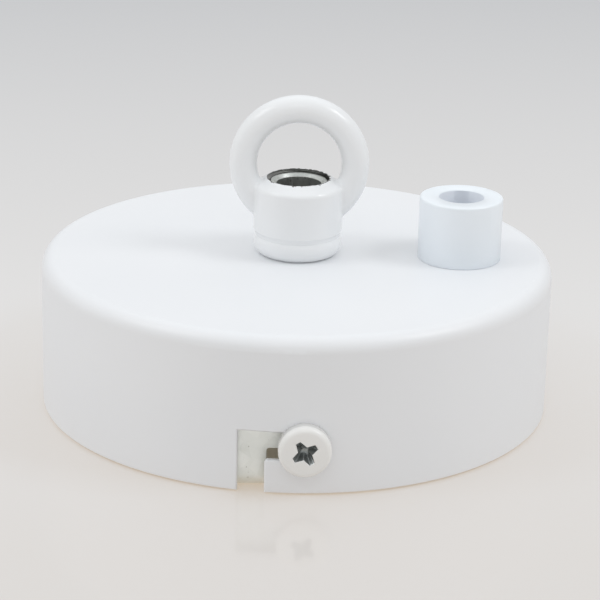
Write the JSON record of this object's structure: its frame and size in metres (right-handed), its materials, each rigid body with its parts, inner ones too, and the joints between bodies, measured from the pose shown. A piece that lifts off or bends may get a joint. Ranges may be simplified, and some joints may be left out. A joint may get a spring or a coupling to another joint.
{
  "type": "electrical ceiling rose",
  "caption": "Round white metal ceiling rose with a hanging eye on a hollow threaded tube, an off-centre cord grip, bayonet slots and screws, and a ceiling bracket with terminals.",
  "frame": {"origin": "centre of the bracket's ceiling face, on the canopy's axis", "axes": "+Z leaves the ceiling through the hanging eye, +Y runs along the bracket from the front bayonet screw to the rear one"},
  "size_m": [0.08, 0.085, 0.0493],
  "materials": {
    "canopy_paint": "satin white powder coat",
    "eye_paint": "semi-gloss white coat on a casting",
    "screw_paint": "semi-gloss warm white coat",
    "grip_plastic": "matt bluish white plastic",
    "clamp_screw_plastic": "natural white nylon",
    "galvanised_sheet": "dull galvanised sheet",
    "plated_steel": "bright zinc plate",
    "brass_parts": "bare brass",
    "terminal_plastic": "matt natural polyamide"
  },
  "bodies": {
    "bracket": {"ceiling_bracket": "galvanised_sheet", "earth_washer": "brass_parts", "terminal_housing": "terminal_plastic", "block_screws": "plated_steel", "brass_terminal_1": "brass_parts", "brass_terminal_2": "brass_parts", "brass_terminal_3": "brass_parts"},
    "canopy": {"canopy_cup": "canopy_paint", "ring_nipple": "eye_paint", "threaded_tube": "plated_steel", "tube_tooth_washer": "plated_steel", "tube_lock_nut": "plated_steel", "cord_grip": "grip_plastic", "grip_tooth_washer": "plated_steel", "grip_lock_nut": "plated_steel"},
    "front_screw": {"bayonet_screw_front": "screw_paint"},
    "rear_screw": {"bayonet_screw_rear": "screw_paint"},
    "earth_screw": {"earth_screw": "brass_parts"},
    "clamp_screw": {"cord_clamp_screw": "clamp_screw_plastic"},
    "terminal_screw_1_left": {"terminal_screw_1_left": "plated_steel"},
    "terminal_screw_1_right": {"terminal_screw_1_right": "plated_steel"},
    "terminal_screw_2_left": {"terminal_screw_2_left": "plated_steel"},
    "terminal_screw_2_right": {"terminal_screw_2_right": "plated_steel"},
    "terminal_screw_3_left": {"terminal_screw_3_left": "plated_steel"},
    "terminal_screw_3_right": {"terminal_screw_3_right": "plated_steel"}
  },
  "joints": [
    {"name": "bayonet_turn", "type": "hinge", "parent": "bracket", "child": "canopy", "pos_m": [0, 0, 0], "axis": [0, 0, 1], "range_deg": [0, 11.2]},
    {"name": "front_screw_travel", "type": "slide", "parent": "bracket", "child": "front_screw", "axis": [0, -1, 0], "range_m": [0, 0.0028]},
    {"name": "rear_screw_travel", "type": "slide", "parent": "bracket", "child": "rear_screw", "axis": [0, 1, 0], "range_m": [0, 0.0028]},
    {"name": "earth_screw_travel", "type": "slide", "parent": "bracket", "child": "earth_screw", "axis": [0, 0, 1], "range_m": [0, 0.0015]},
    {"name": "clamp_screw_travel", "type": "slide", "parent": "canopy", "child": "clamp_screw", "axis": [-0.0793, -0.9968, 0], "range_m": [0, 0.003]},
    {"name": "terminal_screw_1_left_travel", "type": "slide", "parent": "bracket", "child": "terminal_screw_1_left", "axis": [0, 0, 1], "range_m": [-0.0016, 0.0004]},
    {"name": "terminal_screw_1_right_travel", "type": "slide", "parent": "bracket", "child": "terminal_screw_1_right", "axis": [0, 0, 1], "range_m": [-0.0016, 0.0004]},
    {"name": "terminal_screw_2_left_travel", "type": "slide", "parent": "bracket", "child": "terminal_screw_2_left", "axis": [0, 0, 1], "range_m": [-0.0016, 0.0004]},
    {"name": "terminal_screw_2_right_travel", "type": "slide", "parent": "bracket", "child": "terminal_screw_2_right", "axis": [0, 0, 1], "range_m": [-0.0016, 0.0004]},
    {"name": "terminal_screw_3_left_travel", "type": "slide", "parent": "bracket", "child": "terminal_screw_3_left", "axis": [0, 0, 1], "range_m": [-0.0016, 0.0004]},
    {"name": "terminal_screw_3_right_travel", "type": "slide", "parent": "bracket", "child": "terminal_screw_3_right", "axis": [0, 0, 1], "range_m": [-0.0016, 0.0004]}
  ]
}
